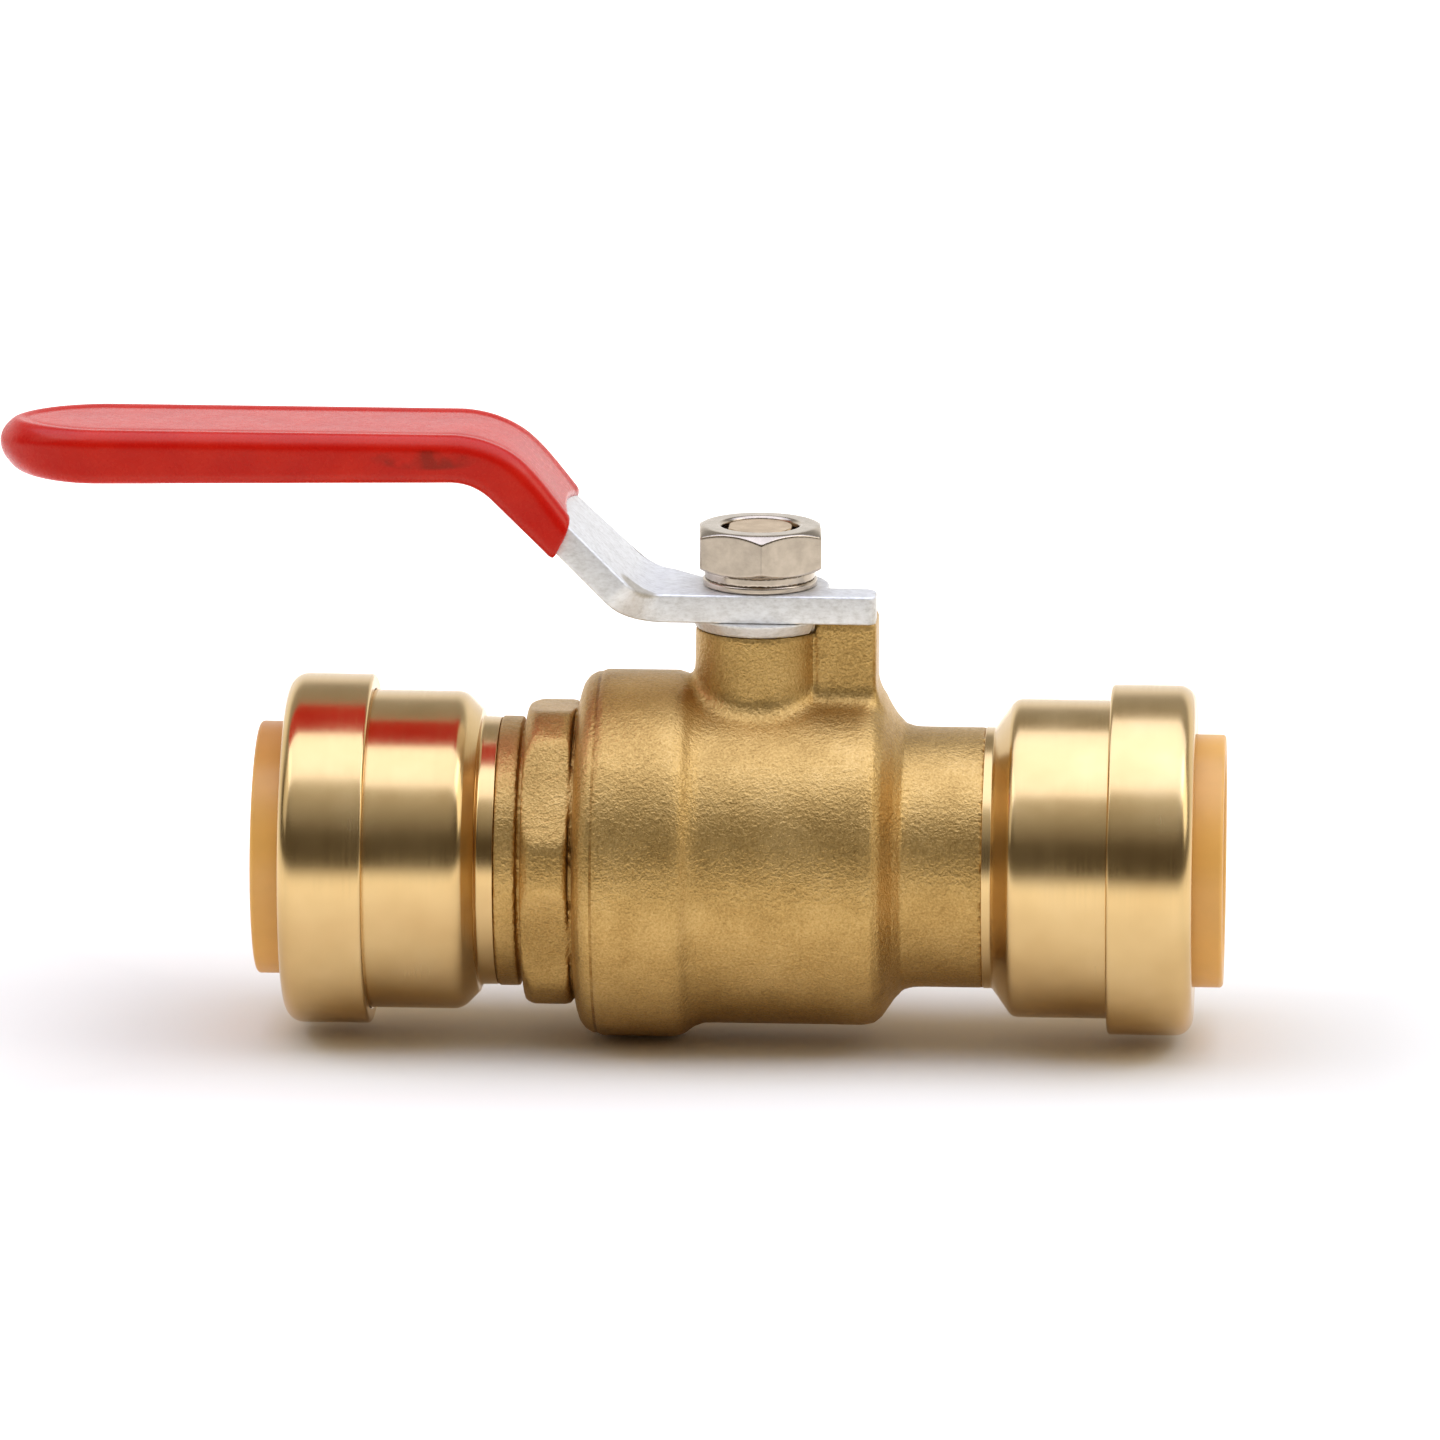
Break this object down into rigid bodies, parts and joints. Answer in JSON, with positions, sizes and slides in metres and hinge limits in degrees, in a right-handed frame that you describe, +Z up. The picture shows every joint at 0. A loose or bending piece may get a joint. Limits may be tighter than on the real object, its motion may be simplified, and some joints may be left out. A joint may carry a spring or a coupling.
{
  "type": "ball valve",
  "caption": "Push-fit brass ball valve for copper-size tube, with a bent lever handle that turns a ported ball a quarter turn to shut off water.",
  "frame": {"origin": "centre of the ball, where the pipe axis meets the stem axis", "axes": "+X along the pipe from the inlet (hex end cap side) to the outlet, +Z up the stem to the handle, +Y across; the lever points to -X, valve open"},
  "size_m": [0.1288, 0.0386, 0.0653],
  "materials": {
    "forged_brass": "shot-blasted forging, satin and fine-grained",
    "turned_brass": "turned and polished",
    "stem_brass": "turned",
    "chromed_brass": "polished chrome plate",
    "zinc_steel": "zinc plated, satin",
    "nickel_steel": "nickel plated, bright",
    "stainless_steel": "spring temper, bright",
    "red_vinyl": "dipped vinyl, glossy",
    "collar_plastic": "moulded acetal, orange-tan, satin",
    "spacer_plastic": "moulded plastic, off-white",
    "ptfe": "white PTFE",
    "rubber_seal": "black EPDM rubber"
  },
  "bodies": {
    "housing": {"valve_body": "forged_brass", "end_cap": "forged_brass", "inlet_seat": "ptfe", "outlet_seat": "ptfe", "thrust_washer": "ptfe", "inlet_retainer_cap": "turned_brass", "outlet_retainer_cap": "turned_brass", "inlet_grab_ring": "stainless_steel", "outlet_grab_ring": "stainless_steel", "inlet_spacer_ring": "spacer_plastic", "outlet_spacer_ring": "spacer_plastic", "inlet_o_ring": "rubber_seal", "outlet_o_ring": "rubber_seal"},
    "inlet_collar": {"inlet_release_collar": "collar_plastic"},
    "outlet_collar": {"outlet_release_collar": "collar_plastic"},
    "ball": {"ball": "chromed_brass"},
    "handle": {"stem": "stem_brass", "lower_stem_o_ring": "rubber_seal", "upper_stem_o_ring": "rubber_seal", "stop_disc": "zinc_steel", "handle_plate": "zinc_steel", "handle_grip": "red_vinyl", "flat_washer": "nickel_steel", "lock_washer": "nickel_steel", "stem_nut": "nickel_steel"}
  },
  "joints": [
    {"name": "handle_turn", "type": "hinge", "parent": "housing", "child": "handle", "pos_m": [0, 0, 0.0276], "axis": [0, 0, 1], "range_deg": [-90, 0]},
    {"name": "ball_turn", "type": "hinge", "parent": "housing", "child": "ball", "pos_m": [0, 0, 0], "axis": [0, 0, 1], "range_deg": [-90, 0]},
    {"name": "inlet_collar_push", "type": "slide", "parent": "housing", "child": "inlet_collar", "axis": [1, 0, 0], "range_m": [0, 0.0024], "stiffness_N_per_m": 300},
    {"name": "outlet_collar_push", "type": "slide", "parent": "housing", "child": "outlet_collar", "axis": [-1, 0, 0], "range_m": [0, 0.0024], "stiffness_N_per_m": 300}
  ],
  "couplings": [
    {"joint": "ball_turn", "follows": "handle_turn", "ratio": 1}
  ]
}
